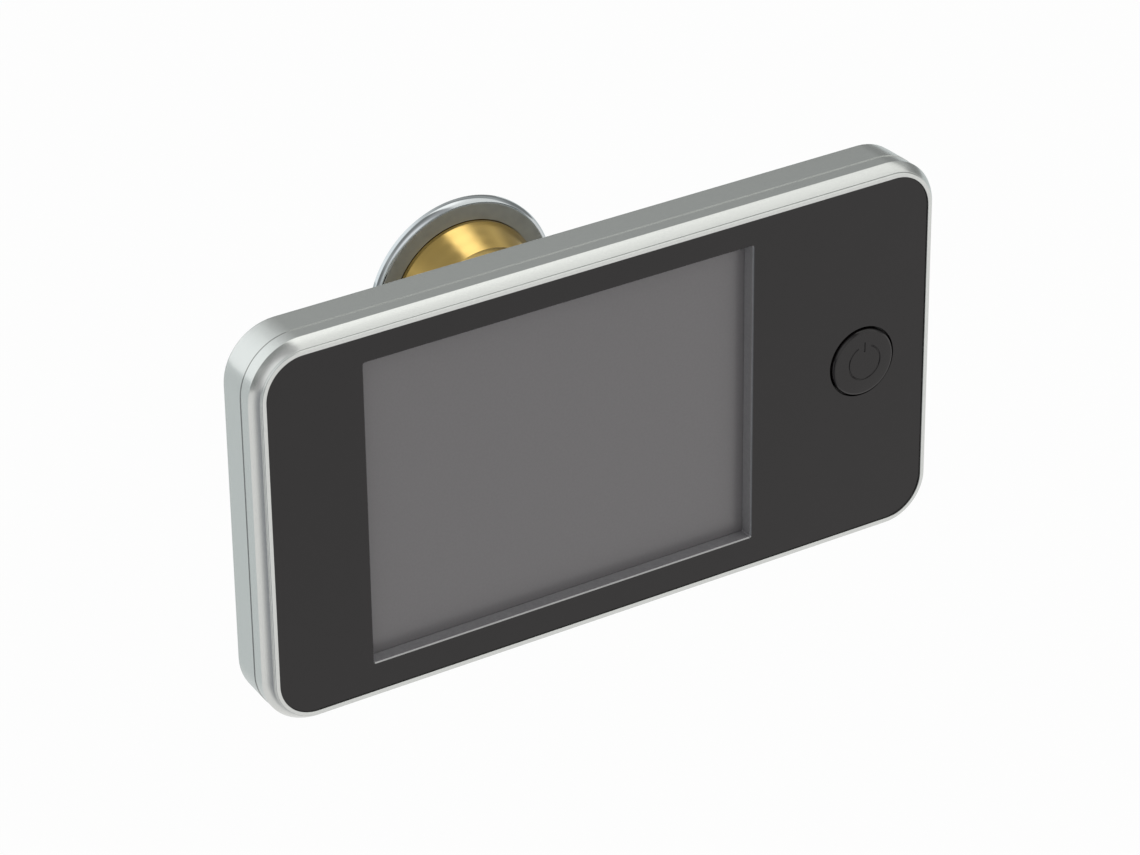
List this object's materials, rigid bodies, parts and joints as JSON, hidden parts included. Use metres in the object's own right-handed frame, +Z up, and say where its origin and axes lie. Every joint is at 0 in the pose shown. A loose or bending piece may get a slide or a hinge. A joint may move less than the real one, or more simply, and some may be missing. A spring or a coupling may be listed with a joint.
{
  "type": "peephole door camera",
  "caption": "Flat screen unit with a silver frame, black face and power button, hung on a hooked door plate; a hollow bolt clamps its brass camera barrel and chromed rosette through a door.",
  "frame": {"origin": "axis of the barrel where it meets the door's inner surface, which is the back face of the plate's pad", "axes": "+Y into the door and out to the street, +Z up, +X right as seen from indoors, so the screen faces -Y"},
  "size_m": [0.1244, 0.05, 0.0666],
  "materials": {
    "silver_paint": "satin silver paint on moulded plastic",
    "black_gloss": "polished black moulding",
    "screen_film": "matte grey screen film",
    "foam": "closed-cell foam",
    "pale_foam": "pale closed-cell foam",
    "white_plastic": "natural white moulding",
    "flex_film": "amber film",
    "circuit_board": "green solder mask",
    "chip_black": "black moulded package",
    "steel": "zinc-plated steel",
    "cell_wrap": "plain printed sleeve",
    "brass": "turned brass",
    "chrome": "bright chrome",
    "lens_glass": "coated lens glass",
    "black_plastic": "matte black moulding",
    "cable_jacket": "soft black jacket"
  },
  "bodies": {
    "mounting": {"door_plate": "steel", "plate_pad": "pale_foam", "camera_cable": "cable_jacket"},
    "monitor": {"front_frame": "silver_paint", "rear_cover": "silver_paint", "face_plate": "black_gloss", "screen_gasket": "foam", "screen_glass": "screen_film", "backlight": "white_plastic", "screen_flex": "flex_film", "main_board": "circuit_board", "board_chips": "chip_black", "camera_socket": "white_plastic", "camera_plug": "white_plastic", "key_board": "circuit_board", "key_ribbon": "flex_film", "push_switch": "chip_black", "batteries": "cell_wrap", "bridge_contact": "steel", "end_contacts": "steel", "contact_springs": "steel", "case_screws": "steel"},
    "button": {"power_button": "black_gloss", "switch_plunger": "black_plastic"},
    "cover": {"battery_door": "silver_paint"},
    "bolt": {"clamp_bolt": "steel"},
    "camera": {"brass_barrel": "brass", "rosette": "chrome", "lens_housing": "black_plastic", "front_lens": "lens_glass", "rear_lens": "lens_glass", "lens_ring": "black_plastic", "sensor_board": "circuit_board", "image_sensor": "chip_black"}
  },
  "joints": [
    {"name": "monitor_lift", "type": "slide", "parent": "mounting", "child": "monitor", "axis": [0, 0, 1], "range_m": [0, 0.006], "deforming": ["camera_cable"]},
    {"name": "button_press", "type": "slide", "parent": "monitor", "child": "button", "axis": [0, 1, 0], "range_m": [0, 0.00045], "stiffness_N_per_m": 800, "springref_m": -0.0006},
    {"name": "cover_slide", "type": "slide", "parent": "monitor", "child": "cover", "axis": [1, 0, 0], "range_m": [0, 0.006]},
    {"name": "bolt_turn", "type": "hinge", "parent": "mounting", "child": "bolt", "pos_m": [0, 0, 0], "axis": [0, -1, 0], "range_deg": [0, 1980]},
    {"name": "camera_advance", "type": "slide", "parent": "mounting", "child": "camera", "axis": [0, 1, 0], "range_m": [0, 0.011], "deforming": ["camera_cable"]}
  ],
  "couplings": [
    {"joint": "camera_advance", "follows": "bolt_turn", "m_per_rad": 0.000318}
  ]
}
